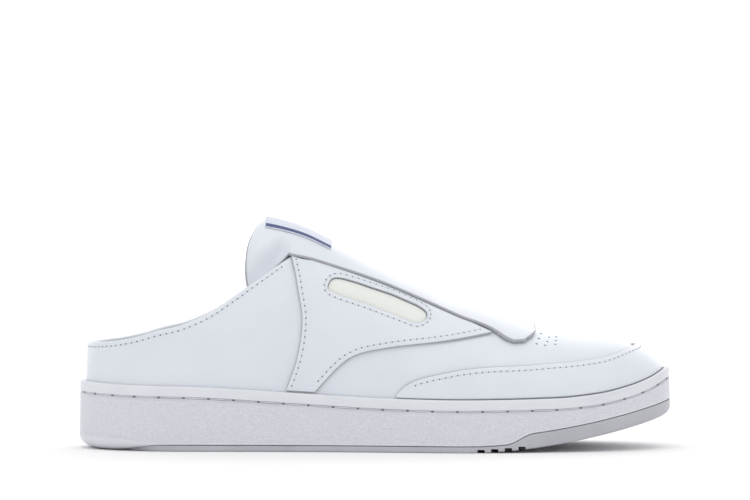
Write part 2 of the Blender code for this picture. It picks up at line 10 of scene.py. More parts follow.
import bmesh
import bpy
import numpy as np
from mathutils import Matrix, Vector


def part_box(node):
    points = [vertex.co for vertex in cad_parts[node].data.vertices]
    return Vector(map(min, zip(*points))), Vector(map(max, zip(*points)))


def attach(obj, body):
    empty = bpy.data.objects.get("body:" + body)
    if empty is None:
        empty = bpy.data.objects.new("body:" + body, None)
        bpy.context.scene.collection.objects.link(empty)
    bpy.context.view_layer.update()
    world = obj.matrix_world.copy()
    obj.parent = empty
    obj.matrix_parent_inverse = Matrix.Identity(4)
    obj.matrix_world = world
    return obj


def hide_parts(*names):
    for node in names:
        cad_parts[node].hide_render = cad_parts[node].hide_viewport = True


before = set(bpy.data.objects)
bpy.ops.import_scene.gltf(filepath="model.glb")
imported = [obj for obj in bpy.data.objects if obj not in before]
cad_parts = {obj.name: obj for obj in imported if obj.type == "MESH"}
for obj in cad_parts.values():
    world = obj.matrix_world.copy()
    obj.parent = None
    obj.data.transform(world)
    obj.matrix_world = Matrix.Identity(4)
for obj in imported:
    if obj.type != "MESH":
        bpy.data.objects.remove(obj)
bpy.context.view_layer.update()
bpy.context.view_layer.update()
print("nodes:", ", ".join(sorted(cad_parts)))

# %% [markdown]
# ## Sizes
# A shoemaker works from the last: its length, ball width, sole depth and instep. All sizes are in
# metres. Length and width come from the frame, and the layers are real leather thicknesses.

# %% Sizes of the last and its layers
SOLE_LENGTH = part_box("midsole")[1][0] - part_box("midsole")[0][0]
BALL_WIDTH = 0.108
SOLE_HEIGHT = 0.0343
UPPER_RISE = 0.0870
TOE_SPRING = 0.0175
GAP = 0.0003
LIP = 0.0030
UPPER_WALL = 0.0022
OVERLAY = 0.0012
STRAP = 0.0020
TONGUE_PAD = 0.0065
INSOLE = 0.0045
MM = 0.001
HEEL_X = -SOLE_LENGTH / 2 + 0.041
TOE_X = SOLE_LENGTH / 2 - 0.058
HEEL_ARC, TOE_ARC = 0.041, 0.058
HEEL_POWER, TOE_POWER = 2.05, 2.25
BASE_DROP = 0.0080
CORNER = -0.0422
UPPER_INSET = LIP + GAP
print(f"sole {SOLE_LENGTH * 1000:.1f} mm long, {BALL_WIDTH * 1000:.0f} mm wide at the ball")

# %% [markdown]
# ## The last in short tables
# Each table is a line drawn on the last. Places are shares of the sole's length from its middle,
# and heights are shares of the upper's rise above the sole's lip. They repeat the solids' own
# lines, so a fine piece always lies on its solid.

# %% Tables of the last
PLAN = (  # x, outer side, inner side, ridge, as shares of length and ball width
    (-0.500, -0.352, 0.341, -0.006),
    (-0.350, -0.372, 0.361, -0.006),
    (-0.200, -0.387, 0.338, -0.008),
    (-0.067, -0.413, 0.315, -0.008),
    (0.067, -0.470, 0.372, -0.004),
    (0.150, -0.500, 0.445, 0.008),
    (0.220, -0.492, 0.500, 0.020),
    (0.307, -0.445, 0.497, 0.030),
    (0.400, -0.392, 0.475, 0.030),
    (0.500, -0.345, 0.450, 0.030),
)
SOLE_TOP = (  # x, lip, floor of the cup, as shares of length and sole height
    (-0.500, 1.000, 0.480),
    (-0.397, 0.962, 0.480),
    (-0.293, 0.939, 0.470),
    (-0.142, 0.862, 0.430),
    (0.013, 0.787, 0.370),
    (0.137, 0.763, 0.330),
    (0.300, 0.784, 0.420),
    (0.370, 0.840, 0.510),
    (0.425, 0.945, 0.630),
    (0.460, 1.050, 0.720),
    (0.490, 1.181, 0.800),
)
RIDGE = (  # x, skin along the middle, roundness of the section
    (-0.500, 0.960, 2.30),
    (-0.350, 0.985, 2.35),
    (-0.250, 0.985, 2.40),
    (-0.195, 0.970, 2.40),
    (-0.161, 0.952, 2.40),
    (-0.127, 0.922, 2.40),
    (-0.085, 0.862, 2.35),
    (-0.042, 0.790, 2.30),
    (0.000, 0.724, 2.25),
    (0.042, 0.660, 2.20),
    (0.085, 0.603, 2.15),
    (0.129, 0.537, 2.10),
    (0.163, 0.505, 2.10),
    (0.200, 0.468, 2.10),
    (0.232, 0.428, 2.10),
    (0.264, 0.392, 2.10),
    (0.307, 0.362, 2.10),
    (0.368, 0.350, 2.12),
    (0.430, 0.362, 2.15),
    (0.500, 0.366, 2.15),
)
COLLAR = (
    (-0.500, 0.222),
    (-0.442, 0.245),
    (-0.397, 0.280),
    (-0.364, 0.316),
    (-0.330, 0.345),
    (-0.280, 0.421),
    (-0.246, 0.503),
    (-0.200, 0.627),
    (-0.141, 0.782),
    (-0.120, 0.830),
)
STRAP_EDGE = (
    (-0.141, 0.782),
    (-0.110, 0.765),
    (-0.075, 0.734),
    (-0.003, 0.660),
    (0.076, 0.554),
    (0.146, 0.451),
    (0.181, 0.408),
    (0.202, 0.372),
    (0.218, 0.335),
    (0.232, 0.316),
    (0.255, 0.317),
    (0.270, 0.330),
)
CAP_EDGE = (
    (0.036, 0.020),
    (0.050, 0.067),
    (0.069, 0.104),
    (0.095, 0.130),
    (0.155, 0.168),
    (0.190, 0.177),
    (0.251, 0.180),
    (0.310, 0.187),
    (0.375, 0.187),
    (0.402, 0.192),
    (0.429, 0.200),
    (0.460, 0.200),
)
PANEL_REAR = (
    (-0.147, 0.012),
    (-0.130, 0.170),
    (-0.122, 0.310),
    (-0.120, 0.425),
    (-0.123, 0.505),
    (-0.128, 0.589),
    (-0.132, 0.672),
    (-0.1395, 0.772),
)
PANEL_FRONT = (
    (-0.100, 0.012),
    (-0.067, 0.147),
    (-0.045, 0.215),
    (-0.022, 0.254),
    (0.008, 0.277),
    (0.042, 0.298),
    (0.129, 0.332),
    (0.194, 0.370),
)
WINDOW = (
    (-0.078, 0.640),
    (-0.071, 0.665),
    (-0.060, 0.667),
    (-0.033, 0.646),
    (0.027, 0.583),
    (0.072, 0.520),
    (0.087, 0.485),
    (0.086, 0.445),
    (0.070, 0.420),
    (0.044, 0.452),
    (-0.015, 0.523),
    (-0.059, 0.565),
    (-0.081, 0.595),
)
TONGUE_END = (
    (0.00, -0.193),
    (0.15, -0.195),
    (0.30, -0.200),
    (0.45, -0.207),
    (0.60, -0.213),
    (0.75, -0.215),
    (0.88, -0.212),
    (1.00, -0.203),
)
print("tables:", 9)


# %% [markdown]
# ## From tables to a surface
# A table becomes a smooth line by joining its rows with cubics that never overshoot. Two lines in
# plan give the sole's outline, and a rounded section leans from that outline up to the ridge.
# Every leather piece is a stretch of this one surface, moved out along its normal.

# %% The surface of the last
def curve(table, column, scale):
    xs = np.array([row[0] for row in table]) * SOLE_LENGTH
    ys = np.array([row[column] for row in table]) * scale
    steps = np.diff(xs)
    slopes = np.diff(ys) / steps
    tangents = np.zeros(len(xs))
    tangents[0], tangents[-1] = slopes[0], slopes[-1]
    for i in range(1, len(xs) - 1):
        if slopes[i - 1] * slopes[i] > 0:
            tangents[i] = 2 * slopes[i - 1] * slopes[i] / (slopes[i - 1] + slopes[i])

    def value(x):
        if x <= xs[0]:
            return ys[0] + tangents[0] * (x - xs[0])
        if x >= xs[-1]:
            return ys[-1] + tangents[-1] * (x - xs[-1])
        i = int(np.searchsorted(xs, x)) - 1
        t = (x - xs[i]) / steps[i]
        rise = (1 + 2 * t) * (1 - t) ** 2 * ys[i] + t * t * (3 - 2 * t) * ys[i + 1]
        return rise + steps[i] * (t * (1 - t) ** 2 * tangents[i] - t * t * (1 - t) * tangents[i + 1])

    return value


outer_side = curve(PLAN, 1, BALL_WIDTH)
inner_side = curve(PLAN, 2, BALL_WIDTH)
ridge_side = curve(PLAN, 3, BALL_WIDTH)
lip = curve(SOLE_TOP, 1, SOLE_HEIGHT)
cup_floor = curve(SOLE_TOP, 2, SOLE_HEIGHT)
ridge_rise = curve(RIDGE, 1, UPPER_RISE)
roundness = curve(RIDGE, 2, 1.0)
collar_rise = curve(COLLAR, 1, UPPER_RISE)
strap_rise = curve(STRAP_EDGE, 1, UPPER_RISE)
cap_rise = curve(CAP_EDGE, 1, UPPER_RISE)


def smooth(t):
    t = min(max(t, 0.0), 1.0)
    return t * t * (3 - 2 * t)


def outline(side, q, inset):
    """Plan point of the sole: q 0 to 1 round the heel, 1 to 2 along the side, 2 to 3 round the toe."""
    edge = outer_side if side < 0 else inner_side
    if q < 1:
        turn, power, arc, start, way = q * math.pi / 2, HEEL_POWER, HEEL_ARC, HEEL_X, -1
    elif q > 2:
        turn, power, arc, start, way = (3 - q) * math.pi / 2, TOE_POWER, TOE_ARC, TOE_X, 1
    else:
        x = HEEL_X + (q - 1) * (TOE_X - HEEL_X)
        return x, edge(x) - side * inset
    x = start + way * (arc - inset) * math.cos(turn) ** (2 / power)
    middle = ridge_side(start)
    return x, middle + (edge(x) - side * inset - middle) * math.sin(turn) ** (2 / power)


def spine(q):
    x = HEEL_X + min(max(q - 1, 0.0), 1.0) * (TOE_X - HEEL_X)
    return x, ridge_side(x)


def station(x):
    return 1 + (x - HEEL_X) / (TOE_X - HEEL_X)


def ridge(x):
    return lip(min(x, TOE_X)) + ridge_rise(x)


def base_point(side, q, angle):
    edge_x, edge_y = outline(side, q, UPPER_INSET)
    spine_x, spine_y = spine(q)
    power = 2 / roundness(edge_x)
    reach = max(math.cos(angle), 0.0) ** power
    rise = math.sin(angle) ** power
    x = spine_x + (edge_x - spine_x) * reach
    y = spine_y + (edge_y - spine_y) * reach
    start = lip(edge_x) - BASE_DROP
    return np.array((x, y, start + (ridge(x) - start) * rise))


def normal_at(side, q, angle):
    point = base_point(side, q, angle)
    if angle > math.pi / 2 - 0.002:
        normal = np.array((-(ridge(point[0] + 1e-4) - ridge(point[0] - 1e-4)) / 2e-4, 0.0, 1.0))
        return normal / np.linalg.norm(normal)
    up = base_point(side, q, angle + 0.001) - base_point(side, q, max(angle - 0.001, 0.0))
    along = base_point(side, min(q + 0.002, 3.0), angle) - base_point(side, max(q - 0.002, 0.0), angle)
    if q > 2.99 or q < 0.01:
        along = np.array((0.0, 1.0, 0.0))
    normal = np.cross(up, along)
    spine_x, spine_y = spine(q)
    away = point - np.array((spine_x, spine_y, lip(spine_x) - 2 * BASE_DROP))
    if normal.dot(away) < 0:
        normal = -normal
    return normal / np.linalg.norm(normal)


def skin(side, q, angle, out=0.0):
    return base_point(side, q, angle) + normal_at(side, q, angle) * out


def angle_at(side, q, height_over_lip):
    low, high = 0.0, math.pi / 2
    for _ in range(26):
        angle = (low + high) / 2
        point = base_point(side, q, angle)
        if point[2] < lip(point[0]) + height_over_lip(point[0]):
            low = angle
        else:
            high = angle
    return (low + high) / 2


print("ridge over the ball:", round(ridge(0.05) * 1000, 1), "mm")


# %% [markdown]
# ## Stations
# A ring of points runs from the heel along the outer side to the toe and back along the inner
# side. More steps than the solids use give a smooth outline.

# %% Stations and rings
HEEL_STEPS, MIDDLE_STEPS, TOE_STEPS = 18, 84, 26


def stations(extra=()):
    values = [i / HEEL_STEPS for i in range(HEEL_STEPS)]
    values += [1 + i / MIDDLE_STEPS for i in range(MIDDLE_STEPS)]
    values += [2 + i / TOE_STEPS for i in range(TOE_STEPS + 1)]
    for value in extra:
        values = [known for known in values if abs(known - value) > 0.003]
    return sorted(values + list(extra))


def around(values):
    return [(-1, q) for q in values] + [(1, q) for q in reversed(values[1:-1])]


def ring_at(values, inset, height):
    ring = []
    for side, q in around(values):
        x, y = outline(side, q, inset(q))
        ring.append((x, y, height(x, q)))
    return ring


def strips(rings, closed=True):
    faces = []
    for lower, upper in zip(rings, rings[1:]):
        for i in range(len(lower) if closed else len(lower) - 1):
            j = (i + 1) % len(lower)
            faces.append((lower[i], lower[j], upper[j], upper[i]))
    return faces


def across(ring, count):
    faces = []
    for i in range(count - 1):
        faces.append((ring[i], ring[i + 1], ring[-(i + 1) % len(ring)], ring[-i % len(ring)]))
    return faces


print("stations on each side:", len(stations()))


# %% [markdown]
# ## Shader maths as expressions
# Long node chains are easier to read as sums. One small class stands for a socket, and adding or
# multiplying it adds a Math node. Any other node comes from one method.

# %% Paint and its values
class Value:
    def __init__(self, paint, socket):
        self.paint, self.socket = paint, socket

    def math(self, operation, first, second):
        return self.paint.node("ShaderNodeMath", {"operation": operation}, {0: first, 1: second})

    def __add__(self, other):
        return self.math("ADD", self, other)

    def __sub__(self, other):
        return self.math("SUBTRACT", self, other)

    def __rsub__(self, other):
        return self.math("SUBTRACT", other, self)

    def __mul__(self, other):
        return self.math("MULTIPLY", self, other)

    __radd__, __rmul__ = __add__, __mul__


class Paint:
    """A material with one Principled shader, built up from values."""

    def __init__(self, name, **fixed):
        self.material = bpy.data.materials.new(name)
        self.material.use_nodes = True
        self.tree = self.material.node_tree
        self.shader = self.tree.nodes["Principled BSDF"]
        for socket, value in fixed.items():
            self.shader.inputs[socket.replace("_", " ")].default_value = value

    def node(self, kind, settings=None, inputs=None, output=0):
        made = self.tree.nodes.new(kind)
        for key, value in (settings or {}).items():
            if key == "stops":
                for stop, (place, colour) in zip(made.color_ramp.elements, value):
                    stop.position, stop.color = place, colour
            else:
                setattr(made, key, value)
        for key, value in (inputs or {}).items():
            if isinstance(value, Value):
                self.tree.links.new(value.socket, made.inputs[key])
            else:
                made.inputs[key].default_value = value
        return Value(self, made.outputs[output])

    def place(self):
        return self.node("ShaderNodeTexCoord", output="Object")

    def noise(self, scale, detail=2.0, rough=0.5):
        inputs = {"Vector": self.place(), "Scale": scale, "Detail": detail, "Roughness": rough}
        return self.node("ShaderNodeTexNoise", {}, inputs)

    def cells(self, scale, feature="F1", output="Distance"):
        inputs = {"Vector": self.place(), "Scale": scale}
        return self.node("ShaderNodeTexVoronoi", {"feature": feature}, inputs, output)

    def ramp(self, value, low, high):
        inputs = {"Value": value, "From Min": low, "From Max": high}
        return self.node("ShaderNodeMapRange", {"clamp": True}, inputs)

    def mix(self, factor, first, second):
        inputs = {"Factor": factor, 6: first, 7: second}
        return self.node("ShaderNodeMix", {"data_type": "RGBA"}, inputs, 2)

    def feed(self, socket, value):
        self.tree.links.new(value.socket, self.shader.inputs[socket])

    def bump(self, height, distance, strength=1.0):
        inputs = {"Height": height, "Distance": distance, "Strength": strength}
        self.feed("Normal", self.node("ShaderNodeBump", {}, inputs))


print("paint ready")


# %% [markdown]
# ## Finishes
# The leather is smooth and coated: a fine grain of small cells with soft valleys, a broad
# unevenness, and low gloss. The sole's side is pebbled like the photograph, coarser than the leather.
# The cut edges of the leather are a darker grey, partly the bare edge's own tone and partly painted shade,
# and they draw the outlines of the panels.

# %% Leather, rubber and cloth
def leather(name, colour, shade, roughness):
    paint = Paint(name, Roughness=roughness, Coat_Weight=0.06, Coat_Roughness=0.35, Specular_IOR_Level=0.42)
    grain = paint.cells(1500.0, "SMOOTH_F1")
    pores = paint.noise(2600.0, 3.0)
    broad = paint.noise(38.0, 3.0)
    cloud = paint.ramp(broad, 0.35, 0.7)
    paint.feed("Base Color", paint.mix(cloud * 0.55, colour, shade))
    paint.feed("Roughness", roughness - 0.05 + 0.10 * paint.ramp(pores, 0.3, 0.7))
    paint.bump(grain * 0.6 + pores * 0.5 + broad * 1.2, 0.00010, 0.55)
    return paint.material


def raw_edge_and_shade():
    paint = Paint("cut_edge_and_shade", Roughness=0.8)
    fibre = paint.noise(2200.0, 4.0, 0.7)
    # These greys are the bare edge's tone, darkened further as painted shade on the edge.
    dark, pale = (0.36, 0.37, 0.40, 1), (0.50, 0.51, 0.54, 1)
    paint.feed("Base Color", paint.mix(paint.ramp(fibre, 0.3, 0.7), dark, pale))
    paint.bump(fibre, 0.00015, 0.6)
    return paint.material


def pebbled_rubber():
    paint = Paint("pebbled_rubber", Roughness=0.5, Specular_IOR_Level=0.4)
    pebble = paint.cells(1250.0, "SMOOTH_F1")
    fine = paint.noise(2400.0, 2.0)
    hollow_and_shade = paint.ramp(pebble, 0.05, 0.62)
    # The hollows between pebbles are painted darker as their shade; the same mask sinks them in the bump and
    # roughens them.
    paint.feed("Base Color", paint.mix(hollow_and_shade, (0.755, 0.765, 0.815, 1), (0.66, 0.67, 0.73, 1)))
    paint.feed("Roughness", 0.42 + 0.18 * hollow_and_shade)
    paint.bump(fine * 0.15 - hollow_and_shade, 0.00028, 0.9)
    return paint.material


def plain_rubber(name, colour, shade):
    paint = Paint(name, Roughness=0.5, Specular_IOR_Level=0.4)
    fine = paint.noise(900.0, 3.0)
    paint.feed("Base Color", paint.mix(paint.ramp(paint.noise(60.0, 3.0), 0.35, 0.7), colour, shade))
    paint.feed("Roughness", 0.46 + 0.12 * fine)
    paint.bump(fine, 0.00008, 0.5)
    return paint.material


def cloth(name, colour, shade, pitch, depth):
    """A plain weave from two crossed waves."""
    paint = Paint(name, Roughness=0.85, Sheen_Weight=0.25)
    turn = 2 * math.pi / pitch
    part = paint.node("ShaderNodeSeparateXYZ", {}, {0: paint.place()}).socket.node
    warp = paint.node("ShaderNodeMath", {"operation": "SINE"}, {0: Value(paint, part.outputs[0]) * turn})
    weft = paint.node("ShaderNodeMath", {"operation": "SINE"}, {0: Value(paint, part.outputs[1]) * turn})
    weave = warp * weft
    paint.feed("Base Color", paint.mix(paint.ramp(weave, -1.0, 1.0), colour, shade))
    paint.bump(weave + 0.6 * paint.noise(700.0, 3.0), depth, 0.7)
    return paint.material


WHITE = leather("white_leather", (0.745, 0.777, 0.835, 1), (0.70, 0.735, 0.80, 1), 0.42)
TONGUE = leather("tongue_leather", (0.745, 0.777, 0.835, 1), (0.70, 0.735, 0.80, 1), 0.46)
LINING = cloth("lining_cloth", (0.72, 0.73, 0.76, 1), (0.64, 0.65, 0.69, 1), 0.0011, 0.00012)
FOOTBED = cloth("footbed_cloth", (0.75, 0.76, 0.79, 1), (0.66, 0.67, 0.71, 1), 0.0014, 0.00016)
EDGE = raw_edge_and_shade()
PEBBLE = pebbled_rubber()
SOLE = plain_rubber("smooth_rubber", (0.755, 0.77, 0.815, 1), (0.72, 0.735, 0.785, 1))
TREAD = plain_rubber("tread_rubber", (0.50, 0.50, 0.545, 1), (0.46, 0.465, 0.505, 1))
CREAM = leather("cream_panel", (0.80, 0.82, 0.775, 1), (0.77, 0.79, 0.75, 1), 0.5)
THREAD = plain_rubber("white_thread", (0.76, 0.785, 0.84, 1), (0.68, 0.70, 0.76, 1))
# Near-black colour painted as the shade inside needle holes and pinholes.
HOLE_SHADE = plain_rubber("needle_hole_shade", (0.16, 0.17, 0.20, 1), (0.20, 0.21, 0.24, 1))
SHADE = plain_rubber("groove_shade", (0.66, 0.67, 0.72, 1), (0.60, 0.61, 0.66, 1))
print("finishes:", len(bpy.data.materials))


# %% [markdown]
# ## Closed pieces from grids
# A leather piece is two grids of points, its face and its back, joined by a rounded cut edge.
# The edge gets its own finish, greyer than the face: partly the bare edge's own tone, partly painted shade.

# %% Mesh helpers
def build(name, groups, slot, *nodes, sharp=35):
    """One object from (faces, material) groups; equal points are joined."""
    index, points, polygons, marks, finishes = {}, [], [], [], []
    for faces, finish in groups:
        if finish not in finishes:
            finishes.append(finish)
        for face in faces:
            corners = []
            for point in face:
                key = tuple(round(float(v), 7) for v in point)
                if key not in index:
                    index[key] = len(points)
                    points.append(key)
                if index[key] not in corners:
                    corners.append(index[key])
            if len(corners) > 2:
                polygons.append(corners)
                marks.append(finishes.index(finish))
    mesh = bpy.data.meshes.new(name)
    mesh.from_pydata(points, [], polygons)
    for finish in finishes:
        mesh.materials.append(finish)
    mesh.polygons.foreach_set("material_index", marks)
    shape = bmesh.new()
    shape.from_mesh(mesh)
    bmesh.ops.recalc_face_normals(shape, faces=shape.faces)
    shape.to_mesh(mesh)
    shape.free()
    mesh.shade_smooth()
    mesh.set_sharp_from_angle(angle=math.radians(sharp))
    made = bpy.data.objects.new(name, mesh)
    bpy.context.scene.collection.objects.link(made)
    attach(made, "root")
    if nodes:
        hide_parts(*nodes)
    print(name, len(polygons), "faces")
    return made


def rim_loops(outer, inner, border, steps=4):
    """Loops of a half-round edge between a face's border and a back's border."""
    rows, columns = outer.shape[:2]
    loops = [[] for _ in range(steps + 1)]
    for i, j in border:
        inward = (min(max(i, 1), rows - 2), min(max(j, 1), columns - 2))
        away = outer[i, j] - outer[inward]
        face = outer[i, j] - inner[i, j]
        thick = np.linalg.norm(face)
        face = face / thick
        away = away - face * away.dot(face)
        away = away / max(np.linalg.norm(away), 1e-9)
        middle = (outer[i, j] + inner[i, j]) / 2
        for k in range(steps + 1):
            turn = math.pi * k / steps
            loops[k].append(middle + thick / 2 * (face * math.cos(turn) + away * math.sin(turn) * 0.8))
    return loops


def leather_piece(name, outer, inner, face, back, edge, slot, *nodes, sharp=50):
    outer, inner = np.array(outer), np.array(inner)
    rows, columns = outer.shape[:2]
    border = [(0, j) for j in range(columns)] + [(i, columns - 1) for i in range(1, rows)]
    border += [(rows - 1, j) for j in range(columns - 2, -1, -1)]
    border += [(i, 0) for i in range(rows - 2, 0, -1)]
    groups = [
        (strips(list(outer), closed=False), face),
        (strips(list(inner), closed=False), back),
        (strips(rim_loops(outer, inner, border)), edge),
    ]
    return build(name, groups, slot, *nodes, sharp=sharp)


print("helpers ready")


# %% [markdown]
# ## The tread
# The grey tread is a thin strip along the side that steps up to a wedge at the toe. It is drawn as
# rings of the sole's outline, and four notches are cut across the forefoot with a Boolean.

# %% Tread
STRIP, WEDGE_MORE = 0.0030, 0.0042  # tread seen along the side, and what the toe has more
WEDGE_START, WEDGE_STEP = 0.065, 0.014
SPRING_START = 0.048  # the tread is flat behind this
HEEL_TUCK = 0.010
TUCK_FROM, TUCK_RUN = -0.100, 0.038
NOTCHES, NOTCH_START, NOTCH_PITCH = 4, 0.0526, 0.0068
NOTCH_WIDE, NOTCH_TALL, NOTCH_DEEP = 0.0036, 0.0064, 0.0016
CUT_LONG = 0.3


def tread(x):
    run = max(x - SPRING_START, 0.0) / (SOLE_LENGTH / 2 - SPRING_START)
    return TOE_SPRING * run**1.7


def tread_top(x):
    return tread(x) + STRIP + WEDGE_MORE * smooth((x - WEDGE_START) / WEDGE_STEP)


def tuck(q):
    return HEEL_TUCK * smooth((TUCK_FROM - outline(-1, q, 0.0)[0]) / TUCK_RUN)


def soften(x):
    """The tread's lower edge grows rounder towards the toe."""
    return 1 + 2.5 * smooth((x - TOE_X) / TOE_ARC)


def make_tread():
    values = stations()
    rings = []
    for share, inset in ((0.0, 1.0), (0.3, 0.35), (0.7, 0.08), (1.0, 0.0)):
        def edge(q, inset=inset):
            return tuck(q) + 3 * GAP * inset * soften(outline(-1, q, 0.0)[0])

        def low(x, q, share=share):
            return tread(x) + 3 * GAP * share * soften(x)

        rings.append(ring_at(values, edge, low))
    rings.append(ring_at(values, tuck, lambda x, q: tread_top(x)))
    count = len(values)
    faces = strips(rings) + across(rings[0], count) + across(rings[-1], count)
    made = build("tread", [(faces, TREAD)], "tread_rubber", "outsole")
    for i in range(NOTCHES):
        x = NOTCH_START + NOTCH_PITCH * i
        z = tread(x) + NOTCH_DEEP - NOTCH_TALL / 2
        bpy.ops.mesh.primitive_cube_add(size=1.0, location=(x, 0.0, z))
        cutter = bpy.context.object
        cutter.scale = (NOTCH_WIDE, CUT_LONG, NOTCH_TALL)
        cut = made.modifiers.new("notch", "BOOLEAN")
        cut.object = cutter
        bpy.context.view_layer.objects.active = made
        bpy.ops.object.modifier_apply(modifier=cut.name)
        bpy.data.objects.remove(cutter)
    return made


make_tread()


# %% [markdown]
# ## The cupsole
# The side wall is nearly upright, with a rounded heel edge, a groove for the stitches and a raised
# lip that hugs the upper. Wall, groove and lip are rings too, each with its own finish: pebbled
# wall, shaded groove, smooth lip.

# %% Cupsole
HEEL_ROUND = 0.0065
GROOVE_DOWN = 0.0057  # stitch groove below the lip


def make_cupsole():
    values = stations()
    groove = GROOVE_DOWN

    def back(q):
        return max(tuck(q) - 2 * GAP, 2 * GAP)

    def drop(q):
        return min(max((tuck(q) - 6 * GAP) / (HEEL_TUCK - 6 * GAP), 0.0), 1.0)

    def low(share, rise):
        return lambda x, q: (tread_top(x) + GAP + rise) * (1 - drop(q)) + share * HEEL_ROUND * drop(q)

    def level(down):
        return lambda x, q: lip(x) - down

    def at(value):
        return lambda q: value

    def ribs(q):
        return 0.00035 * (0.5 + 0.5 * math.sin(q * 330.0)) * smooth((q - 2.05) / 0.2)

    bottom = [ring_at(values, back, lambda x, q: tread_top(x) + GAP), ring_at(values, back, low(0.03, 0.0))]
    for turn in range(1, 7):
        bend = math.pi / 2 * turn / 6
        shrink = 1 - math.sin(bend)
        height = 1 - math.cos(bend)
        bottom.append(
            ring_at(values, lambda q, s=shrink: back(q) * s, low(0.03 + 0.97 * height, 3 * GAP * height))
        )
    wall = [bottom[-1]]
    for share in (0.25, 0.5, 0.75, 0.97):
        def rise(x, q, share=share):
            start = low(1.0, 3 * GAP)(x, q)
            return start + (lip(x) - groove - 0.0011 - start) * share

        wall.append(ring_at(values, at(GAP * share), rise))
    cut = [wall[-1]]
    for inset, down in ((0.8, 1.0), (2.6, 0.75), (3.4, 0.3), (3.4, -0.3), (2.6, -0.75), (1.0, -1.0)):
        cut.append(ring_at(values, at(GAP * inset), level(groove + 0.0006 * down)))
    band = [cut[-1]]
    for inset, down in ((0.7, 0.0042), (0.8, 0.0030), (1.2, 0.0016)):
        band.append(ring_at(values, lambda q, i=inset: GAP * i + ribs(q), level(down)))
    for turn in range(1, 6):
        bend = math.pi / 2 * turn / 5
        inset = GAP * 1.2 + 0.0010 * (1 - math.cos(bend))
        band.append(ring_at(values, at(inset), level(0.0010 - 0.0010 * math.sin(bend))))
    band.append(ring_at(values, at(LIP), level(0.0)))
    band.append(ring_at(values, at(LIP), level(0.002)))
    band.append(ring_at(values, at(LIP), lambda x, q: cup_floor(x)))
    count = len(values)
    groups = [
        (strips(bottom) + across(bottom[0], count), SOLE),
        (strips(wall), PEBBLE),
        (strips(cut), SHADE),
        (strips(band) + across(band[-1], count), SOLE),
    ]
    return build("cupsole", groups, "sole_rubber", "midsole", sharp=60)


make_cupsole()


# %% [markdown]
# ## The footbed
# A mule shows its footbed through the open heel. It is a thin cloth-covered pad, softly domed at
# its edge, that lies on the floor of the cup inside the upper.

# %% Footbed
def make_footbed():
    values = stations()
    edge = UPPER_INSET + UPPER_WALL + GAP
    rings = [ring_at(values, lambda q: edge, lambda x, q: cup_floor(x) + GAP)]
    for turn in range(5):
        bend = math.pi / 2 * turn / 4
        inset = edge + 0.0025 * (1 - math.cos(bend))
        rise = INSOLE - 0.0025 * (1 - math.sin(bend))
        rings.append(ring_at(values, lambda q, i=inset: i, lambda x, q, r=rise: cup_floor(x) + GAP + r))
    count = len(values)
    faces = strips(rings) + across(rings[0], count) + across(rings[-1], count)
    return build("footbed", [(faces, FOOTBED)], "footbed", "insole")


make_footbed()


# %% [markdown]
# ## The upper
# One hollow shell of leather, open at the collar, at the throat under the strap, and underneath.
# Soft troughs and ridges keep the leather from looking like a casting: a flex
# crease over the ball, a dip in front of the strap, a gentle wave along the quarter.

# %% Upper
CREASES = (  # place, height over the lip, half length along x, half width in height, depth in mm
    (0.060, 0.022, 0.016, 0.0045, 0.45),
    (0.072, 0.030, 0.012, 0.0035, 0.35),
    (-0.075, 0.018, 0.030, 0.0060, 0.40),
    (-0.100, 0.012, 0.022, 0.0050, 0.30),
    (-0.066, 0.030, 0.018, 0.0040, -0.25),
    (0.104, 0.026, 0.010, 0.0060, 0.25),
)


THROAT_OPEN = 0.73  # share of the way from ridge to strap edge
THROAT_END, THROAT_ROUND = 0.060, 0.020
CORNER_RUN = 0.0015


def crease(point):
    """How far troughs move the skin in at a point, in metres."""
    total = 0.0
    for x, height, length, width, depth in CREASES:
        away = ((point[0] - x) / length) ** 2 + ((point[2] - lip(point[0]) - height) / width) ** 2
        total -= depth * MM * math.exp(-away)
    return total


def throat_angle(side, x):
    edge = angle_at(side, station(x), strap_rise)
    run = (x - THROAT_END + THROAT_ROUND) / THROAT_ROUND
    share = THROAT_OPEN * math.sqrt(max(1 - max(run, 0.0) ** 2, 0.0))
    return math.pi / 2 - (math.pi / 2 - edge) * share


def opening_angle(side, q):
    def collar(x):
        return collar_rise(x) - UPPER_WALL * 0.4

    x = spine(q)[0]
    if q <= 1 or x <= CORNER:
        return angle_at(side, q, collar)
    if x >= THROAT_END:
        return math.pi / 2
    corner = angle_at(side, station(CORNER), collar)
    share = smooth((x - CORNER) / CORNER_RUN)
    return corner + (throat_angle(side, max(x, CORNER + CORNER_RUN)) - corner) * share


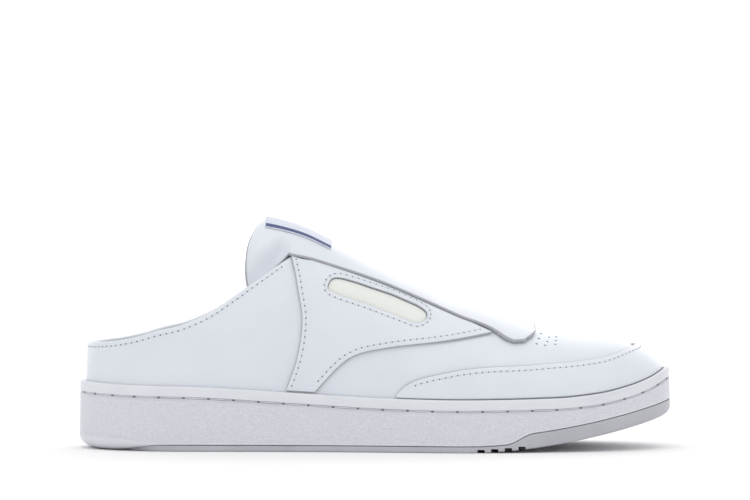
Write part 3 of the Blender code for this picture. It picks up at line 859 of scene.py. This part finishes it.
def make_upper():
    corner = (CORNER, CORNER + CORNER_RUN / 3, CORNER + CORNER_RUN, THROAT_END)
    values = stations(extra=[station(x) for x in corner])
    keys = around(values)
    ends = {key: opening_angle(*key) for key in keys}
    outer = [ring_at(values, lambda q: UPPER_INSET, lambda x, q: cup_floor(x) + GAP)]
    for row in range(25):
        share = (row / 24) ** 1.15
        ring = []
        for side, q in keys:
            angle = share * ends[side, q]
            point = base_point(side, q, angle)
            ring.append(point + normal_at(side, q, angle) * crease(point))
        outer.append(ring)
    inner = []
    for row in range(13):
        share = 1 - row / 12
        inner.append([skin(side, q, share * ends[side, q], -UPPER_WALL) for side, q in keys])
    inset = UPPER_INSET + UPPER_WALL
    inner.append(ring_at(values, lambda q: inset, lambda x, q: cup_floor(x) + GAP))
    rim = []
    for i, key in enumerate(keys):
        following = (i + 1) % len(keys)
        if min(ends[key], ends[keys[following]]) >= math.pi / 2 - 1e-6:
            continue
        arcs = []
        for k in (i, following):
            face = outer[-1][k] - inner[0][k]
            away = outer[-1][k] - outer[-2][k]
            away = away / np.linalg.norm(away)
            closed = ends[keys[k]] >= math.pi / 2 - 1e-6
            reach = 0.0 if closed else 0.4
            middle = (outer[-1][k] + inner[0][k]) / 2
            arc = []
            for step in range(5):
                turn = math.pi * step / 4
                arc.append(middle + face / 2 * math.cos(turn) + away * UPPER_WALL * reach * math.sin(turn))
            arcs.append(arc)
        for step in range(4):
            rim.append((arcs[0][step], arcs[1][step], arcs[1][step + 1], arcs[0][step + 1]))
    foot = strips([outer[0], inner[-1]])
    groups = [(strips(outer), WHITE), (rim, WHITE), (strips(inner), LINING), (foot, LINING)]
    return build("upper_shell", groups, "leather", "upper", sharp=60)


make_upper()


# %% [markdown]
# ## Tongue and strap
# Behind the collar's corner the strap and the padded tongue form one soft roll, and in front of it
# the strap lies flat on the vamp and ends in a tab. Both are grids across the instep. The roll at
# the rear comes from letting both faces fall away over the last few millimetres.

# %% Tongue and strap
TUCK_DEPTH = 0.0056  # the side of the roll goes this far in, behind the collar
TUCK_AFTER = 0.0065
TUCK_TOP, TUCK_FADE = 0.0130, 0.0090
TUCK_BELOW = 0.0085
TONGUE_FRONT = 0.044
ROLL_REACH, ROLL_DEPTH = 0.008, 0.0032


def tuck_in(side, q, angle, x):
    if x >= CORNER:
        return 0.0
    height = base_point(side, q, angle)[2] - lip(x) - collar_rise(x)
    return TUCK_DEPTH * smooth((CORNER - x) / TUCK_AFTER) * smooth((TUCK_TOP - height) / TUCK_FADE)


def strap_lower(side, x):
    if x >= CORNER:
        return angle_at(side, station(x), strap_rise)
    below = TUCK_BELOW * smooth((CORNER - TUCK_AFTER - x) / TUCK_AFTER)
    return angle_at(side, station(x), lambda place: collar_rise(place) + 5 * GAP - below)


rear_of = curve([(share, x * SOLE_LENGTH) for share, x in TONGUE_END], 1, 1.0)


def rear_edge(share):
    return rear_of(share * SOLE_LENGTH)


def front_edge(share):
    return SOLE_LENGTH * (0.267 - 0.020 * smooth((share - 0.68) / 0.36) ** 1.5)


def roll(run, reach, depth):
    """How far a face falls at a distance from the rear edge."""
    t = 1 - min(max(run / reach, 0.0), 1.0)
    return depth * (1 - math.sqrt(max(1 - t * t, 0.0)))


def cover(name, rows, rear_steps, front_steps, end, lower, outside, thickness, finishes, slot, node):
    outer, inner = [], []
    for i in range(rear_steps + front_steps + 1):
        outer_row, inner_row = [], []
        for j in range(-rows, rows + 1):
            side = -1 if j < 0 else 1
            share = abs(j) / rows
            rear, front = rear_edge(share), end(share)
            if i <= rear_steps:
                x = rear + (i / rear_steps) ** 1.5 * (CORNER - rear)
            else:
                x = CORNER + (i - rear_steps) / front_steps * (front - CORNER)
            q = station(x)
            angle = math.pi / 2 - share * (math.pi / 2 - lower(side, x))
            out = outside(side, q, angle, x, x - rear)
            outer_row.append(skin(side, q, angle, out))
            inner_row.append(skin(side, q, angle, out - thickness(x, x - rear)))
        outer.append(outer_row)
        inner.append(inner_row)
    return leather_piece(name, outer, inner, *finishes, slot, node)


def make_strap():
    def outside(side, q, angle, x, run):
        return GAP + STRAP - tuck_in(side, q, angle, x) - roll(run, ROLL_REACH, ROLL_DEPTH)

    def thickness(x, run):
        return STRAP

    finishes = (WHITE, WHITE, EDGE)
    lines = (front_edge, strap_lower, outside, thickness)
    return cover("instep_strap", 22, 22, 44, *lines, finishes, "leather", "strap")


def make_tongue():
    def outside(side, q, angle, x, run):
        level = (UPPER_WALL + 2 * GAP) * smooth((x - CORNER + 0.014) / 0.010)
        return -max(tuck_in(side, q, angle, x), level) - roll(run, ROLL_REACH, ROLL_DEPTH)

    def lower(side, x):
        if x <= CORNER:
            return strap_lower(side, x)
        below = 0.010 * smooth((x - CORNER) / 0.010)
        return angle_at(side, station(x), lambda place: strap_rise(place) - below)

    def thickness(x, run):
        pad = TONGUE_PAD * (1 - 0.3 * smooth((x - CORNER) / (TONGUE_FRONT - CORNER)))
        return pad - roll(run, 0.009, 0.0030) - roll(run, 0.004, 0.0012)

    def end(share):
        return TONGUE_FRONT

    finishes = (TONGUE, LINING, TONGUE)
    lines = (end, lower, outside, thickness)
    made = cover("tongue_pad", 18, 18, 20, *lines, finishes, "lining", "tongue")
    return made


make_strap()
make_tongue()


# %% [markdown]
# ## Toe cap
# The mudguard is a band of leather round the toe, stitched to the vamp. It follows the last a
# layer's thickness out, so its upper edge shows as a step.

# %% Toe cap
def make_toe_cap():
    start = station(CAP_EDGE[0][0] * SOLE_LENGTH)
    values = [start] + [q for q in stations() if q > start + 0.006]
    keys = [(-1, q) for q in values] + [(1, q) for q in reversed(values[:-1])]
    outer, inner = [], []
    for side, q in keys:
        low = angle_at(side, q, lambda x: 2 * GAP)
        high = max(angle_at(side, q, cap_rise), low + 0.01)
        angles = [low + (high - low) * i / 12 for i in range(13)]
        outer.append([skin(side, q, angle, GAP + OVERLAY) for angle in angles])
        inner.append([skin(side, q, angle, GAP) for angle in angles])
    return leather_piece("toe_guard", outer, inner, WHITE, WHITE, EDGE, "leather", "toe_cap")


make_toe_cap()


# %% [markdown]
# ## Side panels and window
# Each side has a saddle panel between collar, strap and lip. The outer one has a long slot with a
# cream insert. The panel's four edges are blended into a grid, and the slot is cut by a Boolean.

# %% Panels
def table_point(table, share):
    spot = share * (len(table) - 1)
    i = min(int(spot), len(table) - 2)
    t = spot - i
    x = table[i][0] + t * (table[i + 1][0] - table[i][0])
    height = table[i][1] + t * (table[i + 1][1] - table[i][1])
    return np.array((x * SOLE_LENGTH, height * UPPER_RISE))


def bend_point(table, share):
    """Like table_point, with its corners eased."""
    near = [table_point(table, min(max(share + step, 0.0), 1.0)) for step in (-0.05, 0.0, 0.05)]
    if share < 0.05 or share > 0.95:
        return near[1]
    return near[0] / 4 + near[1] / 2 + near[2] / 4


def panel_point(u, v):
    rear, front = bend_point(PANEL_REAR, v), bend_point(PANEL_FRONT, v)
    foot_rear, foot_front = table_point(PANEL_REAR, 0.0), table_point(PANEL_FRONT, 0.0)
    top_rear, top_front = table_point(PANEL_REAR, 1.0), table_point(PANEL_FRONT, 1.0)
    foot = foot_rear + u * (foot_front - foot_rear)
    x = top_rear[0] + u * (top_front[0] - top_rear[0])
    ease = min(u / 0.1, (1 - u) / 0.1, 1.0)
    straight = top_rear + u * (top_front - top_rear)
    top = np.array((x, straight[1] + ease * (strap_rise(x) - 3 * GAP - straight[1])))
    blend = (1 - u) * rear + u * front + (1 - v) * foot + v * top
    low = (1 - u) * foot_rear + u * foot_front
    high = (1 - u) * top_rear + u * top_front
    return blend - (1 - v) * low - v * high


def on_side(side, place, out):
    q = station(place[0])
    return skin(side, q, angle_at(side, q, lambda x: place[1]), out)


def side_grid(side, point_at, columns, rows, out):
    grid = []
    for i in range(columns + 1):
        grid.append([on_side(side, point_at(i / columns, j / rows), out) for j in range(rows + 1)])
    return grid


def window_loop(grow=0.0, steps=90):
    """The slot's outline with eased corners, moved outward by grow."""
    closed = np.array((*WINDOW, WINDOW[0])) * np.array((SOLE_LENGTH, UPPER_RISE))
    runs = np.concatenate(([0.0], np.cumsum(np.linalg.norm(np.diff(closed, axis=0), axis=1))))
    spots = np.arange(steps) / steps * runs[-1]
    loop = np.stack([np.interp(spots, runs, closed[:, c]) for c in range(2)], axis=1)
    for _ in range(2):
        loop = (np.roll(loop, 1, axis=0) + 2 * loop + np.roll(loop, -1, axis=0)) / 4
    along = np.roll(loop, -1, axis=0) - np.roll(loop, 1, axis=0)
    along = along / np.linalg.norm(along, axis=1)[:, None]
    return loop + grow * np.stack((-along[:, 1], along[:, 0]), axis=1)


def window_grid(shrink, columns, rows):
    """A grid that fills the slot's outline: columns along it and rows across."""
    loop = window_loop(-shrink, 2 * columns + 2 * rows)
    start = int(np.argmin(loop[:, 0]))
    loop = np.roll(loop, -start, axis=0)
    half = columns + rows
    upper = [loop[k] for k in range(half + 1)]
    lower = [loop[-k % len(loop)] for k in range(half + 1)]
    return [[low + (top - low) * j / rows for j in range(rows + 1)] for top, low in zip(upper, lower)]


def make_panels():
    for side, name, node in (
        (-1, "saddle_outer", "quarter_overlay_lateral"),
        (1, "saddle_inner", "quarter_overlay_medial"),
    ):
        outer = side_grid(side, panel_point, 20, 48, GAP + OVERLAY)
        inner = side_grid(side, panel_point, 20, 48, GAP)
        made = leather_piece(name, outer, inner, WHITE, WHITE, EDGE, "leather", node)
        if side > 0:
            continue
        tall = [on_side(side, place, 4 * OVERLAY) for place in window_loop()]
        deep = [on_side(side, place, -OVERLAY) for place in window_loop()]
        faces = strips([deep, tall]) + [tuple(tall), tuple(reversed(deep))]
        cutter = build("slot_cutter", [(faces, EDGE)], "leather")
        cut = made.modifiers.new("slot", "BOOLEAN")
        cut.object = cutter
        bpy.context.view_layer.objects.active = made
        bpy.ops.object.modifier_apply(modifier=cut.name)
        bpy.data.objects.remove(cutter)


def make_insert():
    rows = 8
    grid = window_grid(GAP, 46, rows)
    outer, inner = [], []
    for i, column in enumerate(grid):
        u = i / (len(grid) - 1)
        taper = math.sin(math.pi * u) ** 0.5 if 0 < u < 1 else 0.0
        outer_row, inner_row = [], []
        for j, place in enumerate(column):
            swell = 0.0006 * math.sin(math.pi * j / rows) * taper
            outer_row.append(on_side(-1, place, GAP + 0.0002 + swell))
            inner_row.append(on_side(-1, place, GAP * 0.3))
        outer.append(outer_row)
        inner.append(inner_row)
    groups = [
        (strips(outer, closed=False), CREAM),
        (strips(inner, closed=False), CREAM),
        (strips([[row[-1] for row in outer], [row[-1] for row in inner]], closed=False), CREAM),
        (strips([[row[0] for row in outer], [row[0] for row in inner]], closed=False), CREAM),
    ]
    return build("window_cream", groups, "insert", "window_insert", sharp=60)


make_panels()
make_insert()


# %% [markdown]
# ## The label
# A woven label lies on top of the tongue. It is left blank here, pale with a dark blue band along
# both long edges, as woven labels often have.

# %% Label
LABEL, LABEL_HALF = 0.0006, 0.0152
LABEL_REAR, LABEL_LONG = -0.0555, 0.032


def make_label():
    navy = cloth("navy_band", (0.055, 0.075, 0.20, 1), (0.09, 0.11, 0.26, 1), 0.0007, 0.0001)
    pale = cloth("pale_weave", (0.70, 0.74, 0.86, 1), (0.78, 0.81, 0.90, 1), 0.0007, 0.0001)
    outer, inner = [], []
    columns, rows = 24, 14
    for i in range(columns + 1):
        x = LABEL_REAR + i / columns * LABEL_LONG
        lines = ([], [])
        for j in range(-rows, rows + 1):
            side = -1 if j < 0 else 1
            width = abs(outline(side, station(x), UPPER_INSET)[1] - ridge_side(x))
            reach = LABEL_HALF * abs(j) / rows / width
            angle = math.acos(reach ** (roundness(x) / 2))
            fall = roll(x - rear_edge(0.4), ROLL_REACH, ROLL_DEPTH)
            for line, out in zip(lines, (2 * GAP + STRAP + LABEL, GAP * 1.5 + STRAP)):
                line.append(skin(side, station(x), angle, out - fall))
        outer.append(lines[0])
        inner.append(lines[1])
    made = leather_piece("blank_label", outer, inner, pale, pale, pale, "label", "tongue_label")
    made.data.materials.append(navy)
    across_count = 2 * rows
    for number, face in enumerate(list(made.data.polygons)[: columns * across_count]):
        if number % across_count in (0, 1, across_count - 2, across_count - 1):
            face.material_index = len(made.data.materials) - 1
    return made


make_label()


# %% [markdown]
# ## Stitches
# A sewn row reads as small needle holes, dark with painted shade, with a short bright thread between
# them. Each row is a line on the last, walked at an even pitch. Every stitch is a small capsule with
# a disc of painted shade for the hole at each end, and one function makes all rows of a piece into one mesh
# of thread and one mesh of hole shade.

# %% Stitch rows
def walk(line, pitch):
    """Points at an even pitch along a line of (point, normal)."""
    points = np.array([point for point, _ in line])
    normals = np.array([normal for _, normal in line])
    runs = np.concatenate(([0.0], np.cumsum(np.linalg.norm(np.diff(points, axis=0), axis=1))))
    count = max(int(round(runs[-1] / pitch)), 1)
    places = []
    for k in range(count + 1):
        at = runs[-1] * k / count
        point = np.array([np.interp(at, runs, points[:, c]) for c in range(3)])
        normal = np.array([np.interp(at, runs, normals[:, c]) for c in range(3)])
        places.append((point, normal / np.linalg.norm(normal)))
    return places


def around_point(centre, first, second, sides):
    """A small ring of points; first and second are its two radii."""
    turns = [2 * math.pi * k / sides for k in range(sides)]
    return [centre + first * math.cos(turn) + second * math.sin(turn) for turn in turns]


def capsule(start, end, up, radius, sides=6):
    """Faces of a thread from start to end, bowed a little outward."""
    along = end - start
    length = np.linalg.norm(along)
    along = along / length
    across_way = np.cross(up, along)
    rings = []
    for t, thick in ((0.0, 0.25), (0.12, 0.8), (0.5, 1.0), (0.88, 0.8), (1.0, 0.25)):
        middle = start + along * length * t + up * radius * (0.9 * math.sin(math.pi * t) - 0.35)
        rings.append(around_point(middle, across_way * radius * thick, up * radius * thick, sides))
    return strips(rings) + [tuple(reversed(rings[0])), tuple(rings[-1])]


def disc(centre, up, radius, sides=8):
    """Faces of a small dish, painted near black as the shade inside a hole."""
    first = np.cross(up, np.array((0.31, 0.95, 0.05)))
    first = first / np.linalg.norm(first)
    second = np.cross(up, first)
    rings = []
    for out, reach in ((0.00004, 1.0), (0.00010, 0.75), (-0.0002, 0.0)):
        rings.append(around_point(centre + up * out, first * radius * reach, second * radius * reach, sides))
    low = [point - up * 0.0003 for point in rings[0]]
    return strips([low, rings[0], rings[1]]) + [tuple(rings[1]), tuple(reversed(low))]


def sew(name, rows, slot, pitch=0.0031, radius=0.00024, hole=0.00042):
    threads, hole_shades = [], []
    for line in rows:
        places = walk(line, pitch)
        for (point, up), (following, _) in zip(places, places[1:]):
            gap = (following - point) * 0.13
            threads += capsule(point + gap, following - gap, up, radius)
        # Each needle hole gets a disc of painted shade.
        for point, up in places:
            hole_shades += disc(point, up, hole)
    build(f"{name}_thread", [(threads, THREAD)], slot, sharp=80)
    # The needle-hole discs of painted shade form one object.
    build(f"{name}_holes", [(hole_shades, HOLE_SHADE)], slot, sharp=80)


def skin_line(side, places, out):
    line = []
    for q, height in places:
        angle = angle_at(side, q, lambda x, h=height: h(x) if callable(h) else h)
        line.append((skin(side, q, angle, out), normal_at(side, q, angle)))
    return line


def collar_row(side):
    values = [q for q in stations() if q < station(CORNER - 0.003)]
    return skin_line(side, [(q, lambda x: collar_rise(x) - 0.0026) for q in values], 0.0)


def cap_row(side, down, start):
    values = [q for q in stations() if q > station(start)]
    return skin_line(side, [(q, lambda x: cap_rise(x) - down) for q in values], GAP + OVERLAY)


def inside_row(side, table, shift, steps=40, first=0.03, last=0.97):
    """A row beside a panel's edge, moved in by shift in place and height."""
    line = []
    for k in range(steps + 1):
        share = first + (last - first) * k / steps
        before, after = bend_point(table, max(share - 0.02, 0.0)), bend_point(table, min(share + 0.02, 1.0))
        run = (after - before) / np.linalg.norm(after - before)
        place = bend_point(table, share) + shift * np.array((run[1], -run[0]))
        q = station(place[0])
        angle = angle_at(side, q, lambda x, p=place: p[1])
        line.append((skin(side, q, angle, GAP + OVERLAY), normal_at(side, q, angle)))
    return line


def window_row(side, grow):
    line = []
    loop = list(window_loop(grow))
    for place in loop + loop[:1]:
        q = station(place[0])
        angle = angle_at(side, q, lambda x, p=place: p[1])
        line.append((skin(side, q, angle, GAP + OVERLAY), normal_at(side, q, angle)))
    return line


sew("collar", [collar_row(-1), collar_row(1)], "leather")
sew("cap", [cap_row(side, 0.0022, 0.020) for side in (-1, 1)], "leather")
panel_rows = []
for side in (-1, 1):
    panel_rows.append(inside_row(side, PANEL_REAR, 0.0017))
    panel_rows.append(inside_row(side, PANEL_FRONT, -0.0022, first=0.05, last=0.96))
panel_rows.append(window_row(-1, 0.0018))
sew("panel", panel_rows, "leather")


# %% [markdown]
# ## Sole stitching and pinholes
# The cupsole is sewn through its groove with long stitches: a thread just under the lip and a needle
# hole every half inch, drawn as a disc of painted shade. Nine pinholes on each side of the vamp let air
# in, each drawn as a disc of painted shade.

# %% Sole stitches and pinholes
def groove_line():
    line = []
    values = stations()
    for side, q in around(values) + [(-1, values[0])]:
        x, y = outline(side, q, GAP * 2.6)
        near = np.array(outline(side, q, 0.0)) - np.array(outline(side, q, 0.004))
        up = np.array((near[0], near[1], 0.0))
        line.append((np.array((x, y, lip(x) - GROOVE_DOWN)), up / np.linalg.norm(up)))
    return line


sew("groove", [groove_line()], "sole_rubber", pitch=0.0126, radius=0.00030, hole=0.00070)

PINHOLES = (
    (0.0812, 0.0534),
    (0.0826, 0.0559),
    (0.0839, 0.0581),
    (0.0855, 0.0526),
    (0.0868, 0.0544),
    (0.0879, 0.0563),
    (0.0908, 0.0530),
    (0.0912, 0.0548),
    (0.0916, 0.0564),
)


def make_pinholes():
    faces = []
    for side in (-1, 1):
        for x, z in PINHOLES:
            q = station(x)
            angle = angle_at(side, q, lambda place, h=z: h - lip(place))
            # Each pinhole is a disc of painted shade.
            faces += disc(skin(side, q, angle, 0.00002), normal_at(side, q, angle), 0.00055)
    return build("pinholes", [(faces, HOLE_SHADE)], "leather", sharp=80)


make_pinholes()


# %% [markdown]
# ## Studio
# The photograph has a white ground and soft light from all round, a little stronger from above. A
# pale floor, a bright sky and two large lamps give that. The camera looks at the outer side from
# far away, almost level, so the lines stay as flat as in the photograph.

# %% Floor, lamps and camera
def make_studio():
    bpy.ops.mesh.primitive_plane_add(size=12.0, location=(0.0, 0.0, 0.0))
    floor = bpy.context.object
    floor.name = "studio_floor"
    paint = Paint("studio_white", Roughness=0.9, Base_Color=(0.93, 0.93, 0.93, 1), Specular_IOR_Level=0.1)
    floor.data.materials.append(paint.material)
    sweep_paint = Paint("studio_sweep", Roughness=0.9, Base_Color=(0.8, 0.8, 0.8, 1))
    sweep_paint.shader.inputs["Emission Color"].default_value = (1.0, 1.0, 1.0, 1)
    sweep_paint.shader.inputs["Emission Strength"].default_value = 1.0
    bpy.ops.mesh.primitive_plane_add(size=12.0, location=(0.0, 5.0, 0.0), rotation=(math.pi / 2, 0.0, 0.0))
    sweep = bpy.context.object
    sweep.name = "studio_sweep"
    sweep.data.materials.append(sweep_paint.material)
    world = bpy.data.worlds.new("studio_sky")
    world.use_nodes = True
    world.node_tree.nodes["Background"].inputs["Color"].default_value = (1.0, 1.0, 1.0, 1)
    world.node_tree.nodes["Background"].inputs["Strength"].default_value = 0.8
    bpy.context.scene.world = world
    for name, place, size, power in (
        ("top_lamp", (0.1, -0.3, 1.6), 1.4, 6.0),
        ("front_lamp", (-0.9, -1.6, 0.9), 1.2, 1.5),
        ("back_lamp", (0.6, 1.2, 0.9), 1.0, 2.0),
    ):
        light = bpy.data.lights.new(name, "AREA")
        light.energy, light.size = power, size
        lamp = bpy.data.objects.new(name, light)
        bpy.context.scene.collection.objects.link(lamp)
        lamp.location = place
        aim = Vector((0.0, 0.0, 0.05)) - Vector(place)
        lamp.rotation_euler = aim.to_track_quat("-Z", "Y").to_euler()
    bpy.context.scene.view_settings.view_transform = "Standard"


PHOTO_WIDTH = 750
PIXELS_PER_METRE = 1967.0
MIDDLE_HEIGHT = 0.1001  # height shown at the middle of the photograph
LENS = 200.0
SENSOR = 36.0
ELEVATION = math.radians(0.8)


def make_camera():
    lens = bpy.data.cameras.new("camera")
    lens.lens, lens.sensor_width = LENS, SENSOR
    camera = bpy.data.objects.new("camera", lens)
    bpy.context.scene.collection.objects.link(camera)
    away = PHOTO_WIDTH / PIXELS_PER_METRE * LENS / SENSOR
    aim = Vector((0.0, 0.0, MIDDLE_HEIGHT))
    camera.location = aim + away * Vector((0.0, -math.cos(ELEVATION), math.sin(ELEVATION)))
    camera.rotation_euler = (aim - camera.location).to_track_quat("-Z", "Y").to_euler()
    lens.dof.use_dof = False
    bpy.context.scene.camera = camera
    print("camera distance", round(away, 3), "m")


make_studio()
make_camera()
